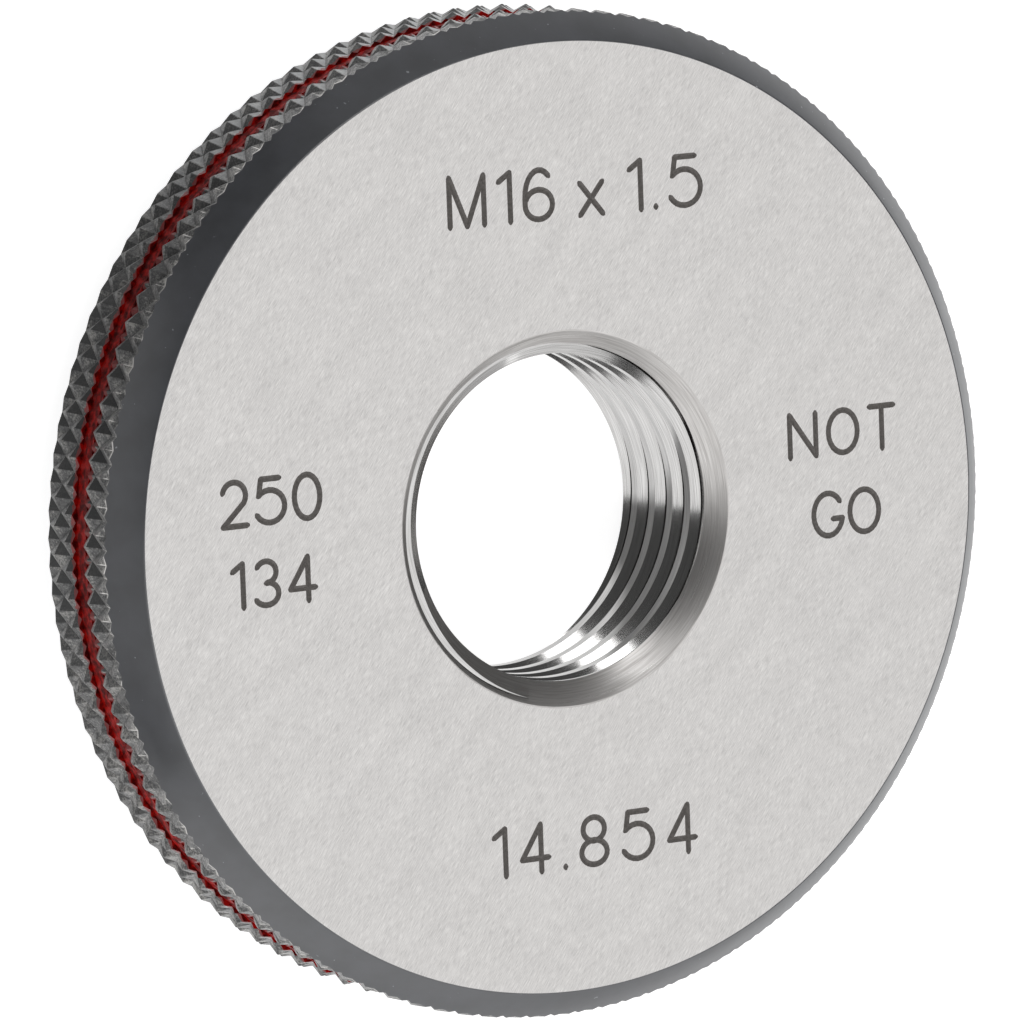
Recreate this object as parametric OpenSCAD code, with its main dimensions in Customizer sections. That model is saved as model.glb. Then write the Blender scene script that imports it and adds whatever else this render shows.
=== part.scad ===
// Thread ring gauge for an M16 x 1.5 thread: a flat turned steel ring with a knurled rim.
// It lies on its back. The origin is the centre of the back face, and +Z points out of the marked face.

/* [Ring] */
// Diameter over the crests of the knurl
ring_d = 44.5; // [40:0.5:50]
// Thickness between the two ground faces
ring_t = 8; // [7:0.1:12]
// Diameter of each flat face, inside its rim bevel
face_d = 41.9; // [38:0.1:43]
// Height of the rim bevel on the marked side
front_bevel = 1.4; // [0.8:0.1:2]
// Height of the rim bevel on the back
back_bevel = 1.6; // [0.8:0.1:2]

/* [Bore] */
// Diameter over the crests of the inner thread
bore_d = 14.4; // [14.2:0.1:14.8]
// Diameter of the chamfered mouths of the bore
mouth_d = 16.55; // [16:0.05:18]
// Angle of the mouth chamfers to the flat faces
mouth_angle = 31; // [20:1:50]

/* [Thread] */
// Distance between neighbouring turns of the inner thread
pitch = 1.5; // [1.25:0.25:2]
// Width of the flat on each crest
land_w = 0.49; // [0.1:0.01:0.5]
// Diameter where each flank ends and the relief slot starts
flank_d = 15.2; // [15:0.05:15.4]
// Diameter over the floor of the relief slot
root_d = 16.1; // [15.8:0.05:16.4]
// Height over the back face of the middle of a crest, where it crosses the X axis
thread_rise = 0.284; // [0:0.001:1.5]

/* [Knurl] */
// Diamonds in one row round the rim
knurl_count = 113; // [80:1:130]
// Axial length of one diamond
diamond_len = 1.96; // [1.4:0.02:2.4]
// Depth of the V grooves between the diamonds
knurl_depth = 0.34; // [0.2:0.02:0.5]
// Turn of the first diamond from the X axis, in degrees
knurl_turn = 1.3; // [0:0.05:3]

/* [Colour groove] */
// Width of the groove round the middle of the knurl
groove_w = 1.1; // [0.8:0.1:2]
// Depth of the groove below the knurl crests
groove_depth = 0.65; // [0.5:0.05:1.5]
// Thickness of the red paint on the groove's floor
paint_t = 0.3; // [0.1:0.05:0.4]

/* [Hidden] */
$fn = 180;
crest_r = ring_d / 2;
valley_r = crest_r - knurl_depth;
floor_r = crest_r - groove_depth;
band_mid = (back_bevel + ring_t - front_bevel) / 2;
mouth_depth = (mouth_d - bore_d) / 2 * tan(mouth_angle);
row_h = diamond_len / 2;
// Rows of lattice points on each side of the middle row, enough to run past both faces
rows = ceil(max(band_mid, ring_t - band_mid) / row_h);
cols = 2 * knurl_count;
// Room that a cutting tool is given past the faces
over = 1;
// The groove between two crests has flanks of 30 degrees, and then a relief slot with straight walls
flank_angle = 30;
slot_half = (pitch - land_w) / 2 - (flank_d - bore_d) / 2 * tan(flank_angle);
throat_r = bore_d / 2 - 0.2;
throat_half = slot_half + (flank_d / 2 - throat_r) * tan(flank_angle);
groove_section = [
    [throat_r, -throat_half], [flank_d / 2, -slot_half], [root_d / 2, -slot_half],
    [root_d / 2, slot_half], [flank_d / 2, slot_half], [throat_r, throat_half]
];
turn_steps = 40;
// Steps that carry the thread's groove from below the back face to above the marked face
thread_steps = turn_steps * ceil(ring_t / pitch + 2);

// A lattice point of the knurl: crests and groove crossings take turns along each row and column
function knurl_point(row, col) =
    let (r = (row + col) % 2 == 0 ? crest_r : valley_r, a = col * 360 / cols + knurl_turn)
    [r * cos(a), r * sin(a), band_mid + row * row_h];

function vertex(row, col) = (row + rows) * cols + col % cols;

// Each cell is folded along the groove that joins its two low corners
function cell(row, col) =
    let (a = vertex(row, col), b = vertex(row, col + 1),
         c = vertex(row + 1, col + 1), d = vertex(row + 1, col))
    (row + col) % 2 == 0 ? [[a, d, b], [b, d, c]] : [[a, c, b], [a, d, c]];

// Solid drum whose side carries the full diamond knurl
module knurled_drum() {
    points = [for (row = [-rows:rows], col = [0:cols - 1]) knurl_point(row, col)];
    sides = [for (row = [-rows:rows - 1], col = [0:cols - 1]) each cell(row, col)];
    low_cap = [for (col = [0:cols - 1]) vertex(-rows, col)];
    top_cap = [for (col = [cols - 1:-1:0]) vertex(rows, col)];
    polyhedron(points = points, faces = concat([low_cap, top_cap], sides), convexity = 4);
}

// Turned blank: its two bevels trim the knurl at the faces
module blank() {
    rotate_extrude()
    polygon([
        [0, 0],
        [face_d / 2, 0],
        [crest_r, back_bevel],
        [crest_r + over, back_bevel],
        [crest_r + over, ring_t - front_bevel],
        [crest_r, ring_t - front_bevel],
        [face_d / 2, ring_t],
        [0, ring_t]
    ]);
}

module bore() {
    wide_d = mouth_d + 2 * over / tan(mouth_angle);
    translate([0, 0, -over])
    cylinder(d = bore_d, h = ring_t + 2 * over);
    translate([0, 0, -over])
    cylinder(d1 = wide_d, d2 = bore_d, h = mouth_depth + over);
    translate([0, 0, ring_t - mouth_depth])
    cylinder(d1 = bore_d, d2 = wide_d, h = mouth_depth + over);
}

function thread_point(step, corner) =
    let (a = step * 360 / turn_steps, z = thread_rise + (step / turn_steps - 1.5) * pitch)
    [corner[0] * cos(a), corner[0] * sin(a), z + corner[1]];

// Right-hand groove of the inner thread: its section is carried up and round the axis step by step
module thread_groove() {
    n = len(groove_section);
    points = [for (step = [0:thread_steps], corner = groove_section) thread_point(step, corner)];
    sides = [for (step = [0:thread_steps - 1], c = [0:n - 1])
        each let (a = step * n + c, b = step * n + (c + 1) % n) [[a, b, b + n], [a, b + n, a + n]]];
    first = [for (c = [n - 1:-1:0]) c];
    last = [for (c = [0:n - 1]) thread_steps * n + c];
    polyhedron(points = points, faces = concat([first, last], sides), convexity = 12);
}

module groove() {
    translate([0, 0, band_mid - groove_w / 2])
    difference() {
        cylinder(r = crest_r + over, h = groove_w);
        cylinder(r = floor_r, h = groove_w);
    }
}

module ring_body() {
    color("#b9b8b6")
    difference() {
        intersection() {
            knurled_drum();
            blank();
        }
        bore();
        thread_groove();
        groove();
    }
}

module groove_paint() {
    color("#8c1414")
    translate([0, 0, band_mid - groove_w / 2])
    difference() {
        cylinder(r = floor_r + paint_t, h = groove_w);
        cylinder(r = floor_r, h = groove_w);
    }
}

ring_body();
groove_paint();
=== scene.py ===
import math
import bpy
from mathutils import Matrix, Vector


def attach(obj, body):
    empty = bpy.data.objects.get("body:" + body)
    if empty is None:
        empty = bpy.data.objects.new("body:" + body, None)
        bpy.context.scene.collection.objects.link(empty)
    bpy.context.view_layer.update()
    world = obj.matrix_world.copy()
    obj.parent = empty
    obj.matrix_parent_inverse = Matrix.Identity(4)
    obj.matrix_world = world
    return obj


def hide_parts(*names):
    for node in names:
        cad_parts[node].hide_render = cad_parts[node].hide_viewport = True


# Looks of a thread ring gauge: one knurled, blackened and ground steel ring with a red colour mark
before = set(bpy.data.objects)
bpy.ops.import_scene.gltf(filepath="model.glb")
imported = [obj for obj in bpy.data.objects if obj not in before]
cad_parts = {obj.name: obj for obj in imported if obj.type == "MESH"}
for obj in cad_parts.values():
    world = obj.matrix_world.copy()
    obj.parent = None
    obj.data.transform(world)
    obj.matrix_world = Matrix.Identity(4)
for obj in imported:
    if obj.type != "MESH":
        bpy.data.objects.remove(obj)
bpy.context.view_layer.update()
print("frame loaded")

fullTurn = 2 * math.pi

# Sizes in millimetres, as in the part's own source
mergeDistance = 0.0005
ring = {
    "outerRadius": 22.25,
    "thickness": 8.0,
    "faceRadius": 20.95,
    "frontBevel": 1.4,
    "backBevel": 1.6,
    "mouthRadius": 8.275,
    "mouthAngle": 31,
    "blankBore": 7.0,
    "steps": 360,
    "edgeBreak": 0.045,
    "proud": 1.0,
    "smoothAngle": 25,
}


def mm(value):
    return value / 1000


def pickOnly(piece):
    if bpy.context.object and bpy.context.object.mode != "OBJECT":
        bpy.ops.object.mode_set(mode="OBJECT")
    bpy.ops.object.select_all(action="DESELECT")
    piece.select_set(True)
    bpy.context.view_layer.objects.active = piece


def startPiece(name):
    piece = bpy.context.object
    piece.name = name
    piece.data.name = name
    pickOnly(piece)
    bpy.ops.object.transform_apply(location=True, rotation=True, scale=True)
    return piece


# Leaves only the wanted vertices or edges selected, in edit mode
def selectWhere(piece, kind, wanted):
    pickOnly(piece)
    bpy.ops.object.mode_set(mode="EDIT")
    bpy.ops.mesh.select_mode(type=kind)
    bpy.ops.mesh.select_all(action="DESELECT")
    bpy.ops.object.mode_set(mode="OBJECT")
    parts = {"VERT": piece.data.vertices, "EDGE": piece.data.edges}
    for part in parts[kind]:
        part.select = wanted(part)
    bpy.ops.object.mode_set(mode="EDIT")


def applyModifier(piece, kind, **settings):
    pickOnly(piece)
    bpy.ops.object.modifier_add(type=kind)
    modifier = piece.modifiers[-1]
    for key, value in settings.items():
        setattr(modifier, key, value)
    bpy.ops.object.modifier_apply(modifier=modifier.name)


def openEdges(piece):
    shared = {}
    for face in piece.data.polygons:
        for key in face.edge_keys:
            shared[key] = shared.get(key, 0) + 1
    return sum(count != 2 for count in shared.values())


# A cut that comes out torn is made again from the mesh as it was before
def cutWith(piece, tool, operation="DIFFERENCE", selfCrossing=False):
    tries = 4
    pinholeEdges = 20
    before = piece.data.copy()
    for attempt in range(tries):
        applyModifier(piece, "BOOLEAN", operation=operation, object=tool, solver="EXACT",
                      material_mode="TRANSFER", use_self=selfCrossing)
        if openEdges(piece) < pinholeEdges:
            break
        print("cut again", piece.name)
        piece.data = before.copy()
    bpy.data.objects.remove(tool)
    print("cut", piece.name, len(piece.data.polygons))


# Closes the pinholes that a cut can leave where slivers meet
def closePinholes(piece):
    selectWhere(piece, "EDGE", lambda edge: False)
    bpy.ops.mesh.select_non_manifold(use_wire=False, use_multi_face=False, use_non_contiguous=False,
                                     use_verts=False)
    bpy.ops.mesh.fill_holes(sides=6)
    bpy.ops.object.mode_set(mode="OBJECT")


# Chain of points in the XZ plane, extruded one by one from a single point
def drawProfile(name, points):
    bpy.ops.object.select_all(action="DESELECT")
    bpy.ops.mesh.primitive_plane_add(size=mm(1), location=(mm(points[0][0]), 0, mm(points[0][1])))
    piece = startPiece(name)
    bpy.ops.object.mode_set(mode="EDIT")
    bpy.ops.mesh.select_mode(type="VERT")
    bpy.ops.mesh.select_all(action="SELECT")
    bpy.ops.mesh.merge(type="CENTER")
    for here, there in zip(points, points[1:]):
        step = (mm(there[0] - here[0]), 0, mm(there[1] - here[1]))
        bpy.ops.mesh.extrude_vertices_move(TRANSFORM_OT_translate={"value": step})
    return piece


# Lathe: a closed section turned once about the bore's axis
def turnSection(name, points, steps):
    piece = drawProfile(name, points + points[:1])
    bpy.ops.mesh.select_all(action="SELECT")
    bpy.ops.mesh.remove_doubles(threshold=mm(mergeDistance))
    bpy.ops.mesh.spin(steps=steps, angle=fullTurn, center=(0, 0, 0), axis=(0, 0, 1))
    bpy.ops.mesh.select_all(action="SELECT")
    bpy.ops.mesh.remove_doubles(threshold=mm(mergeDistance))
    bpy.ops.mesh.normals_make_consistent(inside=False)
    bpy.ops.object.mode_set(mode="OBJECT")
    return piece


def radiusOf(co):
    return math.hypot(co[0], co[1]) * 1000


# Turned blank with both ground faces, rim bevels and mouth chamfers. Its rim stands proud, for the knurl
# to trim
def makeBlank(materials):
    slope = math.tan(math.radians(ring["mouthAngle"]))
    mouthDrop = (ring["mouthRadius"] - ring["blankBore"]) * slope
    over = ring["proud"]
    rimRun = ring["outerRadius"] - ring["faceRadius"]
    frontEnd = ring["thickness"] - ring["frontBevel"] * (1 + over / rimRun)
    backEnd = ring["backBevel"] * (1 + over / rimRun)
    section = [
        (ring["mouthRadius"], ring["thickness"]),
        (ring["faceRadius"], ring["thickness"]),
        (ring["outerRadius"] + over, frontEnd),
        (ring["outerRadius"] + over, backEnd),
        (ring["faceRadius"], 0),
        (ring["mouthRadius"], 0),
        (ring["blankBore"], mouthDrop),
        (ring["blankBore"], ring["thickness"] - mouthDrop),
    ]
    piece = turnSection("ringTurned", section, ring["steps"])
    verts = piece.data.vertices
    near = 1e-6
    topFace = mm(ring["thickness"])

    def isFaceEdge(edge):
        a, b = [verts[i].co for i in edge.vertices]
        flat = abs(a.z - b.z) < near and (a.z < near or a.z > topFace - near)
        sameRadius = abs(radiusOf(a) - radiusOf(b)) < 0.01
        return flat and sameRadius

    selectWhere(piece, "EDGE", isFaceEdge)
    bpy.ops.mesh.bevel(offset=mm(ring["edgeBreak"]), segments=2, affect="EDGES")
    bpy.ops.object.mode_set(mode="OBJECT")
    for material in materials:
        piece.data.materials.append(material)
    for face in piece.data.polygons:
        radius = radiusOf(face.center)
        if abs(face.normal.z) > 0.99:
            face.material_index = 0
        elif radius > ring["faceRadius"] - 0.1:
            face.material_index = 1
        else:
            face.material_index = 2
    return piece


knurl = {
    "count": 113,
    "diamondLength": 1.96,
    "depth": 0.34,
    "turn": 1.3,
    "rows": 6,
    "middle": 4.1,
    "lastRow": 3,
    "lastCrest": 0.1,
    "lastValley": 0.2,
    "ridgeWidth": 0.03,
    # a worn ridge lies above wornFrom and leans sideways by less than ridgeLean; a flank that gets
    # painted shade leans by more than shadedFlankLean
    "wornFrom": 6.1,
    "ridgeLean": 0.3,
    "shadedFlankLean": 0.2,
    "wander": 0.006,
    "seed": 3,
}


# Drum of sharp diamonds: a chain of lattice points is spun, every other point is sunk, and the ridges are
# worn blunt
def makeKnurl(materials):
    rowHeight = knurl["diamondLength"] / 2
    low = knurl["middle"] - knurl["rows"] * rowHeight
    chain = [(ring["outerRadius"], low + row * rowHeight) for row in range(2 * knurl["rows"] + 1)]
    drum = drawProfile("knurlDrum", chain)
    bpy.ops.mesh.select_all(action="SELECT")
    firstTurn = math.radians(knurl["turn"])
    bpy.ops.transform.rotate(value=-firstTurn, orient_axis="Z", center_override=(0, 0, 0))
    bpy.ops.mesh.spin(steps=2 * knurl["count"], angle=fullTurn, center=(0, 0, 0), axis=(0, 0, 1))
    bpy.ops.mesh.select_all(action="SELECT")
    bpy.ops.mesh.remove_doubles(threshold=mm(0.001))
    colAngle = fullTurn / (2 * knurl["count"])

    def lattice(vertex):
        col = round((math.atan2(vertex.co.y, vertex.co.x) - firstTurn) / colAngle)
        row = round((vertex.co.z - mm(low)) / mm(rowHeight)) - knurl["rows"]
        return row, (row + col) % 2 == 1

    def sinkWhere(wanted, depth):
        selectWhere(drum, "VERT", wanted)
        sink = 1 - depth / ring["outerRadius"]
        bpy.ops.transform.resize(value=(sink, sink, 1), center_override=(0, 0, 0))

    last = knurl["lastRow"]
    sinkWhere(lambda v: lattice(v)[1] and lattice(v)[0] != last, knurl["depth"])
    # the row beside the marked face is flatter than the others
    sinkWhere(lambda v: lattice(v) == (last, True), knurl["lastValley"])
    sinkWhere(lambda v: lattice(v) == (last, False), knurl["lastCrest"])
    bpy.ops.mesh.select_all(action="SELECT")
    bpy.ops.mesh.quads_convert_to_tris(quad_method="SHORTEST_DIAGONAL")
    bpy.ops.mesh.normals_make_consistent(inside=False)
    bpy.ops.object.mode_set(mode="OBJECT")
    for material in materials:
        drum.data.materials.append(material)
    verts = drum.data.vertices

    def isRidge(edge):
        a, b = [lattice(verts[i])[1] for i in edge.vertices]
        return a != b

    selectWhere(drum, "EDGE", isRidge)
    bpy.ops.mesh.bevel(offset=mm(knurl["ridgeWidth"]), segments=1, affect="EDGES", material=1,
                       clamp_overlap=True)
    bpy.ops.mesh.select_all(action="SELECT")
    bpy.ops.transform.vertex_random(offset=mm(knurl["wander"]), uniform=1, seed=knurl["seed"])
    bpy.ops.mesh.select_mode(type="EDGE")
    bpy.ops.mesh.select_all(action="DESELECT")
    bpy.ops.mesh.select_non_manifold()
    bpy.ops.mesh.edge_face_add()
    bpy.ops.mesh.select_all(action="SELECT")
    bpy.ops.mesh.normals_make_consistent(inside=False)
    bpy.ops.object.mode_set(mode="OBJECT")
    # only the ridges that run up to the front bevel are worn bright, and the two flanks of each diamond
    # that look forwards each get a copy of the knurl's material with painted shade
    for face in drum.data.polygons:
        cross = face.normal.y * face.center.x - face.normal.x * face.center.y
        lean = cross / mm(radiusOf(face.center))
        if face.material_index == 1:
            worn = abs(lean) < knurl["ridgeLean"] and face.center.z > mm(knurl["wornFrom"])
            face.material_index = 1 if worn else 0
        elif abs(lean) > knurl["shadedFlankLean"] and 0.1 < face.normal.z < 0.9:
            face.material_index = 2 if lean < 0 else 3
    return drum


groove = {
    "width": 1.1,
    "floorRadius": 21.6,
    "steps": 452,
    "proud": 1.5,
    "wander": 0.045,
    "seed": 5,
    "smoothAngle": 50,
    # places across the groove from front to back, as parts of its half width, and the paint's radius
    "paintSection": [
        (1.0, 21.98), (0.85, 21.97), (0.65, 21.94), (0.35, 21.91),
        (0, 21.9), (-0.35, 21.88), (-0.7, 21.88), (-1.0, 21.87),
    ],
}


def makeGrooveTool(material):
    low = knurl["middle"] - groove["width"] / 2
    high = low + groove["width"]
    out = ring["outerRadius"] + groove["proud"]
    section = [(groove["floorRadius"], low), (out, low), (out, high), (groove["floorRadius"], high)]
    tool = turnSection("grooveTool", section, groove["steps"])
    tool.data.materials.append(material)
    return tool


# Uneven paint that fills the groove and stands higher against its front wall
def makePaint(material):
    half = groove["width"] / 2
    middle = knurl["middle"]
    base = groove["floorRadius"]
    top = [(radius, middle + half * place) for place, radius in groove["paintSection"]]
    section = [(base, middle - half), (base, middle + half)] + top
    paint = turnSection("groovePaint", section, groove["steps"])
    paint.data.materials.append(material)
    inside = mm(half * 0.95)

    # the paint's walls and floor stay plain, so that it fits its groove
    def isInnerTop(vertex):
        return radiusOf(vertex.co) > base + 0.1 and abs(vertex.co.z - mm(middle)) < inside

    selectWhere(paint, "VERT", isInnerTop)
    bpy.ops.transform.vertex_random(offset=mm(groove["wander"]), uniform=1, seed=groove["seed"])
    bpy.ops.object.mode_set(mode="OBJECT")
    bpy.ops.object.shade_smooth_by_angle(angle=math.radians(groove["smoothAngle"]))
    return paint


thread = {
    "pitch": 1.5,
    "crestRadius": 7.2,
    "flankRadius": 7.6,
    "rootRadius": 8.05,
    "landHalf": 0.245,
    "flankAngle": 30,
    "cornerDrop": 0.06,
    "wallDraft": 0.01,
    "cornerWidth": 0.07,
    "phase": 7.784,
    "turnsBelow": 7,
    "turns": 9,
    "steps": 180,
}


# Tap: one pitch of the thread's section is screwed up the bore, and closed by a cone at each end
def makeTap(material):
    pitch = thread["pitch"]
    flankDepth = thread["flankRadius"] - thread["crestRadius"]
    flankEnd = thread["landHalf"] + flankDepth * math.tan(math.radians(thread["flankAngle"]))
    side = [
        (thread["crestRadius"], thread["landHalf"]),
        (thread["flankRadius"], flankEnd),
        (thread["rootRadius"] - thread["cornerDrop"], flankEnd + thread["wallDraft"]),
        (thread["rootRadius"], flankEnd + thread["cornerWidth"]),
    ]
    start = thread["phase"] - pitch * thread["turnsBelow"]
    points = [(thread["crestRadius"], start)]
    points += [(r, start + z) for r, z in side]
    points += [(r, start + pitch - z) for r, z in reversed(side)]
    points += [(thread["crestRadius"], start + pitch)]
    tap = drawProfile("tap", points)
    bpy.ops.object.mode_set(mode="OBJECT")
    applyModifier(tap, "SCREW", angle=fullTurn, screw_offset=mm(pitch), axis="Z",
                  iterations=thread["turns"], steps=thread["steps"], render_steps=thread["steps"],
                  use_merge_vertices=False, use_normal_calculate=True)
    bpy.ops.object.mode_set(mode="EDIT")
    bpy.ops.mesh.select_all(action="SELECT")
    bpy.ops.mesh.remove_doubles(threshold=mm(mergeDistance))
    middle = mm(start + pitch / 2 * (thread["turns"] + 1))
    for upper in (False, True):
        bpy.ops.mesh.select_mode(type="EDGE")
        bpy.ops.mesh.select_all(action="DESELECT")
        bpy.ops.mesh.select_non_manifold()
        bpy.ops.object.mode_set(mode="OBJECT")
        verts = tap.data.vertices
        for edge in tap.data.edges:
            high = sum(verts[i].co.z for i in edge.vertices) / 2 > middle
            edge.select = edge.select and high == upper
        bpy.ops.object.mode_set(mode="EDIT")
        bpy.ops.mesh.extrude_edges_move()
        bpy.ops.mesh.merge(type="CENTER")
    bpy.ops.mesh.select_all(action="SELECT")
    bpy.ops.mesh.normals_make_consistent(inside=False)
    bpy.ops.object.mode_set(mode="OBJECT")
    tap.data.materials.append(material)
    return tap


# Engraved marks, drawn as single strokes with a round cutter
marking = {
    "strokeWidth": 0.29,
    "depth": 0.055,
    "space": 0.3,
    # steps out along a stroke's round end and the cutter's size there, as parts of its radius
    "roundEnd": [(0.5, 0.866), (0.8, 0.6), (0.97, 0.24)],
    # text, middle along X, base line along Y, height, and the gap between glyphs as a part of the height
    "lines": [
        ("M16 x 1.5", 1.02, 13.25, 2.15, 0.35),
        ("NOT", 14.3, 1.55, 1.9, 0.35),
        ("GO", 14.4, -2.1, 1.9, 0.2),
        ("250", -14.7, 1.35, 1.9, 0.25),
        ("134", -14.7, -2.2, 1.9, 0.3),
        ("14.854", 0.85, -15.4, 2.1, 0.4),
    ],
}


def arc(cx, cy, rx, ry, start, end):
    count = max(4, round(abs(end - start) / 15))
    points = []
    for i in range(count + 1):
        angle = math.radians(start + (end - start) * i / count)
        points.append((cx + rx * math.cos(angle), cy + ry * math.sin(angle)))
    return points


# Each glyph's width and strokes, for a height of one
glyphs = {
    "M": (0.8, [[(0, 0), (0, 1)], [(0, 1), (0.4, 0)], [(0.4, 0), (0.8, 1)], [(0.8, 1), (0.8, 0)]]),
    "N": (0.71, [[(0, 0), (0, 1)], [(0, 1), (0.71, 0)], [(0.71, 0), (0.71, 1)]]),
    "O": (0.8, [arc(0.4, 0.5, 0.4, 0.5, 0, 360)]),
    "T": (0.66, [[(0, 1), (0.66, 1)], [(0.33, 1), (0.33, 0)]]),
    "G": (0.8, [arc(0.4, 0.5, 0.4, 0.5, 36, 347), [(0.79, 0.39), (0.53, 0.39)]]),
    "x": (0.53, [[(0, 0), (0.53, 0.65)], [(0, 0.65), (0.53, 0)]]),
    ".": (0.0, [[(0, 0.02), (0, 0.04)]]),
    "0": (0.66, [arc(0.33, 0.5, 0.33, 0.5, 0, 360)]),
    "1": (0.26, [[(0, 0.83), (0.26, 1)], [(0.26, 1), (0.26, 0)]]),
    "2": (0.64, [arc(0.32, 0.69, 0.3, 0.31, 165, -35) + [(0.02, 0)], [(0.02, 0), (0.64, 0)]]),
    "3": (0.62, [arc(0.3, 0.75, 0.26, 0.25, 150, -90), arc(0.3, 0.26, 0.31, 0.26, 85, -150)]),
    "4": (0.64, [[(0.46, 1), (0, 0.29)], [(0, 0.29), (0.64, 0.29)], [(0.46, 1), (0.46, 0)]]),
    "5": (0.73, [[(0.6, 1), (0.13, 1)], [(0.13, 1), (0.07, 0.63)],
                 arc(0.34, 0.37, 0.385, 0.37, 137, -150)]),
    "6": (0.64, [arc(0.34, 0.45, 0.34, 0.55, 50, 180) + arc(0.32, 0.3, 0.32, 0.3, 180, 520)]),
    "8": (0.62, [arc(0.31, 0.75, 0.26, 0.25, 0, 360), arc(0.31, 0.26, 0.31, 0.26, 0, 360)]),
}


# One stroke of the cutter, a rod so thick that it makes the stroke's width at the mark's depth
def addStroke(curve, points, place, height):
    width, depth = marking["strokeWidth"] / 2, marking["depth"]
    cutter = (width ** 2 + depth ** 2) / (2 * depth)
    top = ring["thickness"] + cutter - depth
    flat = [Vector((place[0] + x * height, place[1] + y * height, top)) for x, y in points]
    closed = (flat[0] - flat[-1]).length < 0.001
    rows = [(point, 1) for point in (flat[:-1] if closed else flat)]
    if not closed:
        first = (flat[0] - flat[1]).normalized()
        last = (flat[-1] - flat[-2]).normalized()
        for reach, size in marking["roundEnd"]:
            rows.insert(0, (flat[0] + first * cutter * reach, size))
            rows.append((flat[-1] + last * cutter * reach, size))
    spline = curve.splines.new("POLY")
    spline.points.add(len(rows) - 1)
    for point, (where, size) in zip(spline.points, rows):
        point.co = (mm(where.x), mm(where.y), mm(where.z), 1)
        point.radius = size
    spline.use_cyclic_u = closed
    curve.bevel_depth = mm(cutter)


def makeMarks(material):
    bpy.ops.object.select_all(action="DESELECT")
    bpy.ops.curve.primitive_bezier_curve_add(location=(0, 0, 0))
    marks = startPiece("marks")
    curve = marks.data
    curve.splines.clear()
    curve.dimensions = "3D"
    curve.bevel_resolution = 2
    curve.use_fill_caps = True
    for text, middle, base, height, gap in marking["lines"]:
        advance = [glyphs[c][0] + gap if c != " " else marking["space"] for c in text]
        x = middle - (sum(advance) - gap) * height / 2
        for c, step in zip(text, advance):
            if c != " ":
                for points in glyphs[c][1]:
                    addStroke(curve, points, (x, base), height)
            x += step * height
    pickOnly(marks)
    bpy.ops.object.convert(target="MESH")
    marks = bpy.context.object
    bpy.ops.object.mode_set(mode="EDIT")
    bpy.ops.mesh.select_all(action="SELECT")
    bpy.ops.mesh.remove_doubles(threshold=mm(mergeDistance))
    bpy.ops.mesh.normals_make_consistent(inside=False)
    bpy.ops.object.mode_set(mode="OBJECT")
    marks.data.materials.clear()
    marks.data.materials.append(material)
    return marks


def hexColour(text):
    parts = [int(text[i:i + 2], 16) / 255 for i in (1, 3, 5)]
    return tuple(p / 12.92 if p <= 0.04045 else ((p + 0.055) / 1.055) ** 2.4 for p in parts) + (1.0,)


# Adds one shader node. Settings are its properties or unlinked sockets, and links join other nodes to its
# sockets
def addNode(tree, kind, settings=None, links=None):
    node = tree.nodes.new("ShaderNode" + kind)
    for key, value in (settings or {}).items():
        if key == "stops":
            ramp = node.color_ramp.elements
            while len(ramp) < len(value):
                ramp.new(0.5)
            for element, (position, colour) in zip(ramp, value):
                element.position = position
                element.color = hexColour(colour)
        elif isinstance(key, str) and hasattr(node, key):
            setattr(node, key, value)
        else:
            node.inputs[key].default_value = value
    for key, socket in (links or {}).items():
        tree.links.new(socket, node.inputs[key])
    return node


def newMaterial(name, **settings):
    material = bpy.data.materials.new(name)
    material.use_nodes = True
    tree = material.node_tree
    shader = tree.nodes["Principled BSDF"]
    for key, value in settings.items():
        shader.inputs[key.replace("_", " ")].default_value = value
    place = addNode(tree, "TexCoord").outputs["Object"]
    return material, tree, shader, place


def joinSurface(tree, shader, colour, roughness, height, depth, strength):
    tree.links.new(colour, shader.inputs["Base Color"])
    tree.links.new(roughness, shader.inputs["Roughness"])
    bump = addNode(tree, "Bump", {"Strength": strength, "Distance": mm(depth)}, {"Height": height})
    tree.links.new(bump.outputs["Normal"], shader.inputs["Normal"])


# Noise whose grain is stretched to the given sizes in millimetres, along axes turned about Z
def grain(tree, place, sizes, turn=0, detail=3, rough=0.6):
    mapping = addNode(tree, "Mapping", {"vector_type": "TEXTURE", "Rotation": (0, 0, math.radians(turn)),
                                        "Scale": [mm(size) for size in sizes]}, {"Vector": place})
    noise = addNode(tree, "TexNoise", {"Scale": 1, "Detail": detail, "Roughness": rough},
                    {"Vector": mapping.outputs["Vector"]})
    return noise.outputs["Fac"]


def math2(tree, operation, first, second):
    settings, links = {"operation": operation}, {}
    for index, value in enumerate((first, second)):
        if isinstance(value, (int, float)):
            settings[index] = value
        else:
            links[index] = value
    return addNode(tree, "Math", settings, links).outputs[0]


# Sum of two values of which the first counts for the given share
def weigh(tree, first, second, share):
    return math2(tree, "ADD", math2(tree, "MULTIPLY", first, share),
                 math2(tree, "MULTIPLY", second, 1 - share))


def spread(tree, value, low, high, outLow=0, outHigh=1):
    settings = {"From Min": low, "From Max": high, "To Min": outLow, "To Max": outHigh}
    return addNode(tree, "MapRange", settings, {"Value": value}).outputs[0]


def tint(tree, value, *stops):
    return addNode(tree, "ValToRGB", {"stops": stops}, {"Fac": value}).outputs["Color"]


def blendColours(tree, factor, first, second):
    settings, links = {"data_type": "RGBA"}, {0: factor}
    for index, colour in ((6, first), (7, second)):
        if isinstance(colour, str):
            settings[index] = hexColour(colour)
        else:
            links[index] = colour
    return addNode(tree, "Mix", settings, links).outputs[2]


# Distance from the bore's axis
def axisRadius(tree, place):
    flat = addNode(tree, "VectorMath", {"operation": "MULTIPLY", 1: (1, 1, 0)}, {0: place})
    return addNode(tree, "VectorMath", {"operation": "LENGTH"}, {0: flat.outputs[0]}).outputs["Value"]


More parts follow.
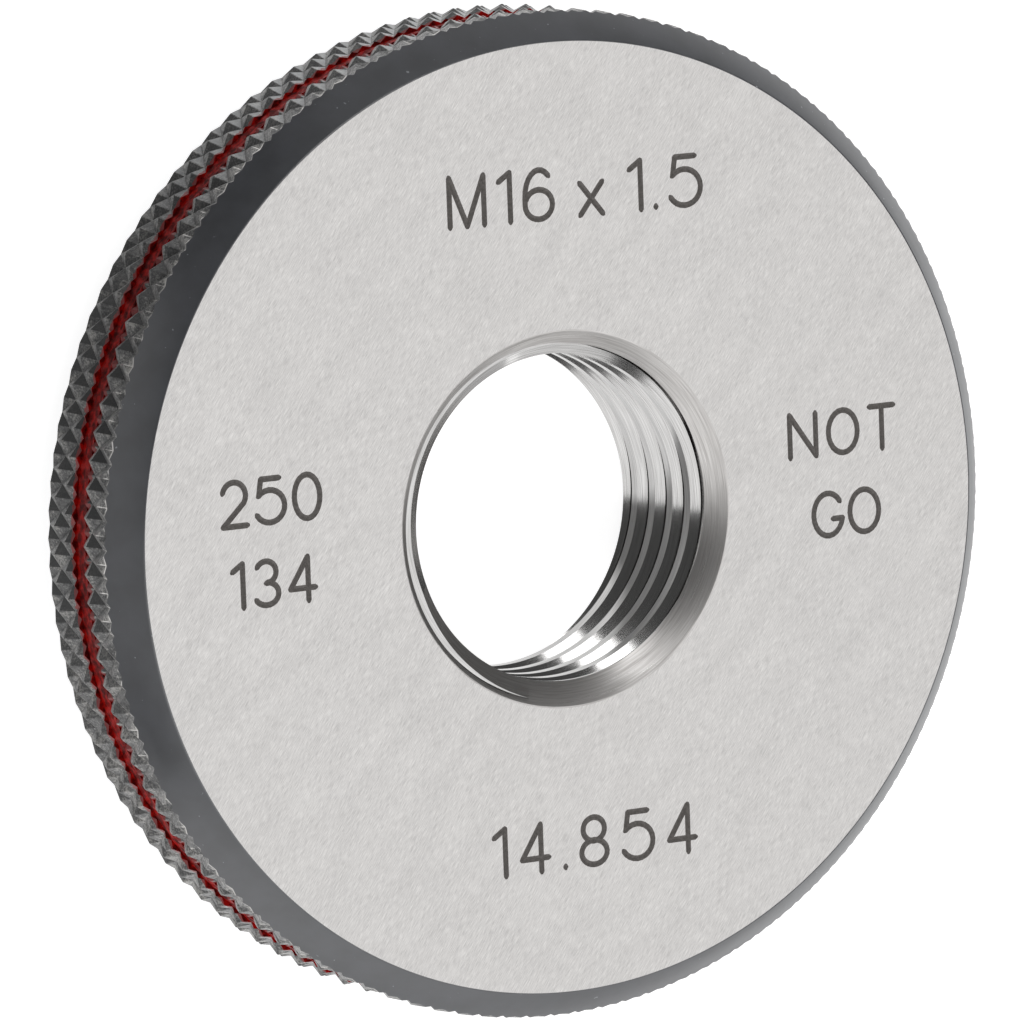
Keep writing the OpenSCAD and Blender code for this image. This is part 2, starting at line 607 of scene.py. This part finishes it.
# Hair-fine rings left by the lathe: noise that changes fast with radius and height, and slowly round the
# ring
def toolRings(tree, place, spacing, along=6.0):
    radius = axisRadius(tree, place)
    split = addNode(tree, "SeparateXYZ", {}, {0: place})
    joined = addNode(tree, "CombineXYZ", {}, {
        0: math2(tree, "MULTIPLY", split.outputs[0], 1 / mm(along)),
        1: math2(tree, "MULTIPLY", split.outputs[1], 1 / mm(along)),
        2: math2(tree, "MULTIPLY", math2(tree, "ADD", radius, split.outputs[2]), 1 / mm(spacing)),
    })
    noise = addNode(tree, "TexNoise", {"Scale": 1, "Detail": 2, "Roughness": 0.5},
                    {"Vector": joined.outputs[0]})
    return noise.outputs["Fac"]


# Hardened steel, surface ground: pale silver with short diagonal wheel strokes
def makeGroundSteel():
    material, tree, shader, place = newMaterial("groundSteel", Metallic=1)
    strokes = grain(tree, place, (0.45, 0.035, 1.0), turn=55, detail=4, rough=0.7)
    clouds = grain(tree, place, (3.0, 1.0, 2.0), turn=47)
    mixed = weigh(tree, strokes, clouds, 0.85)
    colour = tint(tree, mixed, (0.32, "#b1afae"), (0.68, "#dfdddb"))
    joinSurface(tree, shader, colour, spread(tree, mixed, 0.3, 0.7, 0.42, 0.34), strokes, 0.004, 0.3)
    return material


# Turned steel with black oxide: even blue-black with a dull sheen, fine lathe rings and some light nicks
def makeBlackOxide():
    material, tree, shader, place = newMaterial("blackOxide", IOR=2.1)
    rings = toolRings(tree, place, 0.05)
    nicks = spread(tree, grain(tree, place, (0.22, 0.22, 0.22), detail=1), 0.77, 0.8)
    patches = grain(tree, place, (1.5, 1.5, 1.5))
    base = tint(tree, patches, (0.35, "#36383c"), (0.65, "#404247"))
    colour = blendColours(tree, nicks, base, "#8f9296")
    joinSurface(tree, shader, colour, spread(tree, rings, 0.3, 0.7, 0.34, 0.28), rings, 0.001, 0.3)
    return material


# Turned mouth chamfers: bright steel with a warm cast and open lathe rings
def makeTurnedSteel():
    material, tree, shader, place = newMaterial("turnedSteel", Metallic=1)
    rings = toolRings(tree, place, 0.09, 3.0)
    fine = toolRings(tree, place, 0.035, 1.5)
    both = weigh(tree, rings, fine, 0.5)
    colour = tint(tree, both, (0.35, "#a9a6a4"), (0.65, "#d0cecc"))
    joinSurface(tree, shader, colour, spread(tree, both, 0.3, 0.7, 0.36, 0.26), both, 0.004, 0.4)
    return material


# Lapped thread: bright, smooth steel with faint lap lines round the bore
def makeLappedSteel():
    material, tree, shader, place = newMaterial("lappedSteel", Metallic=1)
    lines = toolRings(tree, place, 0.05, 2.0)
    colour = tint(tree, lines, (0.3, "#b0afae"), (0.7, "#cfcecd"))
    joinSurface(tree, shader, colour, spread(tree, lines, 0.3, 0.7, 0.16, 0.09), lines, 0.002, 0.3)
    return material


# Sizes of the knurl's finish, in millimetres apart from the two noise ranges
rimFinish = {
    # distances from the darkest place over which a flank's painted shade fades, and places along Y over
    # which a flank gets painted light
    "paintedShadeFades": (6, 12),
    "paintedLightAlongY": (13, 19),
    # depth below the front bevel, and radius, over which the knurl's lip at the bevel is worn bright
    "lipDepth": (0.05, 0.02),
    "lipRadius": (21.98, 22.05),
    "wornNoise": (0.42, 0.56),
    # how far the red paint creeps, and the radii between which a valley is deep enough for it
    "creep": 0.7,
    "valleyRadius": (22.25, 21.95),
    "stainNoise": (0.14, 0.2),
}


def mmPair(values):
    return [mm(value) for value in values]


# Knurled and blackened, then handled: grainy dark-grey flanks, worn bright beside the bevel and, as
# wornRidge, along broken stretches of the ridges. The two flanks that look forwards get painted shade,
# near black, over a part of the rim each, as shadeAndLightFlank and paintedShadeFlank, and
# shadeAndLightFlank also painted light, pale grey, where Y is high. Red paint has crept out of the groove
# along the valleys
def makeKnurledSteel(name, ridgeWear=0.0, shade=0.0, shadeAt=0.0, lift=0.0):
    material, tree, shader, place = newMaterial(name, IOR=1.5, Specular_IOR_Level=0.4)
    radius = axisRadius(tree, place)
    split = addNode(tree, "SeparateXYZ", {}, {0: place})
    height = split.outputs[2]
    grit = grain(tree, place, (0.1, 0.1, 0.1), detail=4)
    patches = grain(tree, place, (0.7, 0.7, 0.7))
    mixed = weigh(tree, grit, patches, 0.5)
    base = tint(tree, mixed, (0.38, "#2e2e2e"), (0.5, "#5f5f5f"), (0.62, "#aaa8a4"))
    if shade:
        # painted shade: the flank blends to near black round shadeAt along Y; painted light: it blends to
        # pale grey where Y is high
        along = math2(tree, "ABSOLUTE", math2(tree, "SUBTRACT", split.outputs[1], mm(shadeAt)), 0)
        paintedShadeMask = spread(tree, along, *mmPair(rimFinish["paintedShadeFades"]), shade, 0)
        paintedLight = spread(tree, split.outputs[1], *mmPair(rimFinish["paintedLightAlongY"]), 0, lift)
        base = blendColours(tree, paintedLight, blendColours(tree, paintedShadeMask, base, "#101113"), "#b9bbbd")
    rimRun = ring["outerRadius"] - ring["faceRadius"]
    slant = math.hypot(ring["frontBevel"], rimRun)
    inward = math2(tree, "SUBTRACT", mm(ring["outerRadius"]), radius)
    below = math2(tree, "SUBTRACT", mm(ring["thickness"] - ring["frontBevel"]), height)
    gap = math2(tree, "ADD", math2(tree, "MULTIPLY", inward, ring["frontBevel"] / slant),
                math2(tree, "MULTIPLY", below, rimRun / slant))
    lip = math2(tree, "MULTIPLY", spread(tree, gap, *mmPair(rimFinish["lipDepth"])),
                spread(tree, radius, *mmPair(rimFinish["lipRadius"])))
    wear = math2(tree, "MULTIPLY", math2(tree, "MAXIMUM", lip, ridgeWear),
                 spread(tree, patches, *rimFinish["wornNoise"]))
    worn = blendColours(tree, wear, base, "#bdbbb8")
    beside = math2(tree, "ABSOLUTE", math2(tree, "SUBTRACT", height, mm(knurl["middle"])), 0)
    away = math2(tree, "DIVIDE", math2(tree, "SUBTRACT", beside, mm(groove["width"] / 2)),
                 mm(rimFinish["creep"]))
    valley = spread(tree, radius, *mmPair(rimFinish["valleyRadius"]))
    creep = math2(tree, "MULTIPLY", grain(tree, place, (0.45, 0.45, 0.45), detail=2), valley)
    stain = spread(tree, math2(tree, "SUBTRACT", creep, away), *rimFinish["stainNoise"])
    colour = blendColours(tree, stain, worn, "#7c0e0a")
    tree.links.new(wear, shader.inputs["Metallic"])
    joinSurface(tree, shader, colour, spread(tree, grit, 0.3, 0.7, 0.46, 0.28), grit, 0.02, 0.5)
    return material


# Rotary engraving, darkened: soft grey-brown cuts that hardly shine
def makeDarkMark():
    material, tree, shader, place = newMaterial("darkMark", Metallic=0.35)
    mottle = grain(tree, place, (0.15, 0.15, 0.15))
    joinSurface(tree, shader, tint(tree, mottle, (0.3, "#56524f"), (0.7, "#6d6966")),
                spread(tree, mottle, 0.3, 0.7, 0.6, 0.5), mottle, 0.004, 0.4)
    return material


# Brushed-in red enamel: deep, half-gloss and a little uneven
def makeRedEnamel():
    material, tree, shader, place = newMaterial("redEnamel", IOR=1.35, Specular_IOR_Level=0.15)
    flow = grain(tree, place, (0.35, 0.35, 0.35), detail=4)
    joinSurface(tree, shader, tint(tree, flow, (0.38, "#420302"), (0.5, "#740805"), (0.6, "#a8100a")),
                spread(tree, flow, 0.3, 0.7, 0.7, 0.45), flow, 0.03, 0.6)
    return material


groundSteel = makeGroundSteel()
blackOxide = makeBlackOxide()
turnedSteel = makeTurnedSteel()
knurledSteel = makeKnurledSteel("knurledSteel")
wornRidge = makeKnurledSteel("wornRidge", ridgeWear=1.0)
# two copies of the knurl's material with painted shade on the forward flanks, round Y 4.5 and 21; the
# first also has painted light where Y is high
shadeAndLightFlank = makeKnurledSteel("shadeAndLightFlank", shade=0.93, shadeAt=4.5, lift=0.6)
paintedShadeFlank = makeKnurledSteel("paintedShadeFlank", shade=0.65, shadeAt=21)
lappedSteel = makeLappedSteel()
darkMark = makeDarkMark()
redEnamel = makeRedEnamel()
print("materials ready")


# Smooth shading that stops wherever the finish changes, so that the ground faces stay dead flat
def finishEdges(piece):
    finishes = {}
    for face in piece.data.polygons:
        for key in face.edge_keys:
            finishes.setdefault(key, set()).add(face.material_index)
    selectWhere(piece, "EDGE", lambda edge: len(finishes[edge.key]) > 1)
    bpy.ops.mesh.mark_sharp()
    bpy.ops.object.mode_set(mode="OBJECT")
    bpy.ops.object.shade_smooth_by_angle(angle=math.radians(ring["smoothAngle"]), keep_sharp_edges=True)


blank = makeBlank([groundSteel, blackOxide, turnedSteel])
print("blank turned")
cutWith(blank, makeMarks(darkMark), selfCrossing=True)
cutWith(blank, makeKnurl([knurledSteel, wornRidge, shadeAndLightFlank, paintedShadeFlank]), "INTERSECT")
cutWith(blank, makeGrooveTool(redEnamel))
paint = makePaint(redEnamel)
cutWith(blank, makeTap(lappedSteel))
closePinholes(blank)
finishEdges(blank)
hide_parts("ring_body")
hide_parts("groove_paint")
for piece in (blank, paint):
    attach(piece, "root")
print("pieces placed")

# Studio floor, in millimetres apart from its size. The camera sees white paper, and metal mirrors the
# paper at the levels given, which paint shade and a shadow into the mirrored paper. Each pair says where
# a change of level starts and where it ends
paper = {
    "size": 4,
    "drop": 0.02,
    "colour": "#b4b4b4",
    "roughness": 0.9,
    "seenLevel": 0.88,
    # painted shade: mirrored dimmer far from the ring
    "farRadius": (33, 60),
    "farLevel": 0.2,
    # painted shadow: darkest in a patch beyond the ring's upper left
    "shadowPatchPlace": (-28, 17),
    "shadowPatchRadius": (5, 16),
    "shadowPatchLevel": 0.1,
    # painted shade: a little dimmer under the bore, with a dark band across
    "boreRadius": (8, 9),
    "boreShadeLevel": 0.8,
    "shadeBandTop": (-0.8, -0.4),
    "shadeBandFoot": (-2.4, -3.4),
    "shadeBandLevel": 0.12,
}
bpy.ops.object.select_all(action="DESELECT")
bpy.ops.mesh.primitive_plane_add(size=paper["size"], location=(0, 0, mm(-paper["drop"])))
floor = startPiece("studioFloor")
floorPaper = bpy.data.materials.new("floorPaper")
floorPaper.use_nodes = True
tree = floorPaper.node_tree
shader = tree.nodes["Principled BSDF"]
shader.inputs["Base Color"].default_value = hexColour(paper["colour"])
shader.inputs["Roughness"].default_value = paper["roughness"]
rays = addNode(tree, "LightPath")
mirrored = math2(tree, "MAXIMUM", rays.outputs["Is Glossy Ray"], rays.outputs["Is Transmission Ray"])
spot = addNode(tree, "TexCoord").outputs["Object"]
shadowPatchPlace = (*mmPair(paper["shadowPatchPlace"]), 0)
toShadowPatch = addNode(tree, "VectorMath", {"operation": "DISTANCE", 1: shadowPatchPlace}, {0: spot})
fromShadowPatch = toShadowPatch.outputs["Value"]
fromRing = addNode(tree, "VectorMath", {"operation": "LENGTH"}, {0: spot}).outputs["Value"]
# mirrored paper with a painted shadow patch and painted shade far from the ring
openLevel = math2(tree, "MULTIPLY",
                  spread(tree, fromShadowPatch, *mmPair(paper["shadowPatchRadius"]), paper["shadowPatchLevel"], 1),
                  spread(tree, fromRing, *mmPair(paper["farRadius"]), 1, paper["farLevel"]))
alongY = addNode(tree, "SeparateXYZ", {}, {0: spot}).outputs[1]
# painted shade under the bore: a dark band across a dimmer rest
band = math2(tree, "MAXIMUM",
             spread(tree, alongY, *mmPair(paper["shadeBandTop"]), paper["shadeBandLevel"], paper["boreShadeLevel"]),
             spread(tree, alongY, *mmPair(paper["shadeBandFoot"]), 0, paper["boreShadeLevel"]))
boreShade = math2(tree, "MAXIMUM", band, spread(tree, fromRing, *mmPair(paper["boreRadius"])))
mirroredLevel = math2(tree, "MULTIPLY", openLevel, boreShade)
seen = math2(tree, "MAXIMUM", math2(tree, "MULTIPLY", rays.outputs["Is Camera Ray"], paper["seenLevel"]),
             math2(tree, "MULTIPLY", mirrored, mirroredLevel))
shader.inputs["Emission Color"].default_value = (1, 1, 1, 1)
tree.links.new(seen, shader.inputs["Emission Strength"])
floor.data.materials.append(floorPaper)

worldLevel = 0.08
world = bpy.data.worlds.new("studioWorld")
bpy.context.scene.world = world
world.use_nodes = True
background = world.node_tree.nodes["Background"]
background.inputs["Color"].default_value = (1, 1, 1, 1)
background.inputs["Strength"].default_value = worldLevel

# Where each lamp stands, its size, its level, the way it faces, and whether it shows in gloss and lights
# plain surfaces
lamps = {
    "ceilingRight": ((0.45, -0.22, 0.7), (1.1, 1.35), 1.1, (0, 0, -1), True, True),
    "ceilingLeft": ((-0.425, -0.5, 0.7), (0.65, 0.8), 1.15, (0, 0, -1), True, True),
    "frontWall": ((0.05, -0.85, 0.26), (1.7, 0.5), 0.9, (0, 1, 0), True, True),
    "rightWall": ((0.95, -0.6, 0.2), (0.8, 0.4), 0.6, (-1, 0, 0), True, True),
    "leftWall": ((-0.85, 0.12, 0.4), (1.2, 0.45), 0.45, (1, 0, 0), True, False),
    "lowLeft": ((-0.5, -0.72, 0.13), (0.8, 0.24), 3.5, (0.5, 0.72, 0), False, True),
    "backWall": ((0.3, 0.9, 0.26), (0.9, 0.5), 0.2, (0, -1, 0), True, True),
    "backLamp": ((0.05, 0.62, 0.64), (0.22, 0.22), 3.5, (-0.05, -0.62, -0.64), True, True),
    "topRight": ((0.57, 0.71, 0.26), (0.5, 0.4), 4.5, (-0.57, -0.71, -0.26), False, True),
}
for name, (place, size, level, towards, glossy, plain) in lamps.items():
    bpy.ops.object.select_all(action="DESELECT")
    bpy.ops.object.light_add(type="AREA", location=place)
    lamp = bpy.context.object
    lamp.name = name
    lamp.data.shape = "RECTANGLE"
    lamp.data.size, lamp.data.size_y = size
    lamp.data.energy = level * math.pi * size[0] * size[1]
    lamp.rotation_euler = Vector(towards).to_track_quat("-Z", "Y").to_euler()
    lamp.visible_camera = False
    lamp.visible_glossy = glossy
    lamp.visible_diffuse = plain
print("studio lit")

cameraView = {
    "place": (-0.200097, 0.054498, 0.348324),
    "right": (0.862042, -0.036252, 0.505539),
    "up": (0.099696, 0.990081, -0.099002),
    "lens": 320.66,
    "sensor": 36,
    "clipStart": 0.01,
}
bpy.ops.object.camera_add()
camera = bpy.context.object
camera.name = "photoCamera"
right = Vector(cameraView["right"]).normalized()
back = right.cross(Vector(cameraView["up"])).normalized()
up = back.cross(right)
facing = Matrix((right, up, back)).transposed().to_4x4()
camera.matrix_world = Matrix.Translation(cameraView["place"]) @ facing
camera.data.lens = cameraView["lens"]
camera.data.sensor_width = cameraView["sensor"]
camera.data.clip_start = cameraView["clipStart"]
bpy.context.scene.camera = camera
bpy.context.scene.view_settings.view_transform = "Standard"
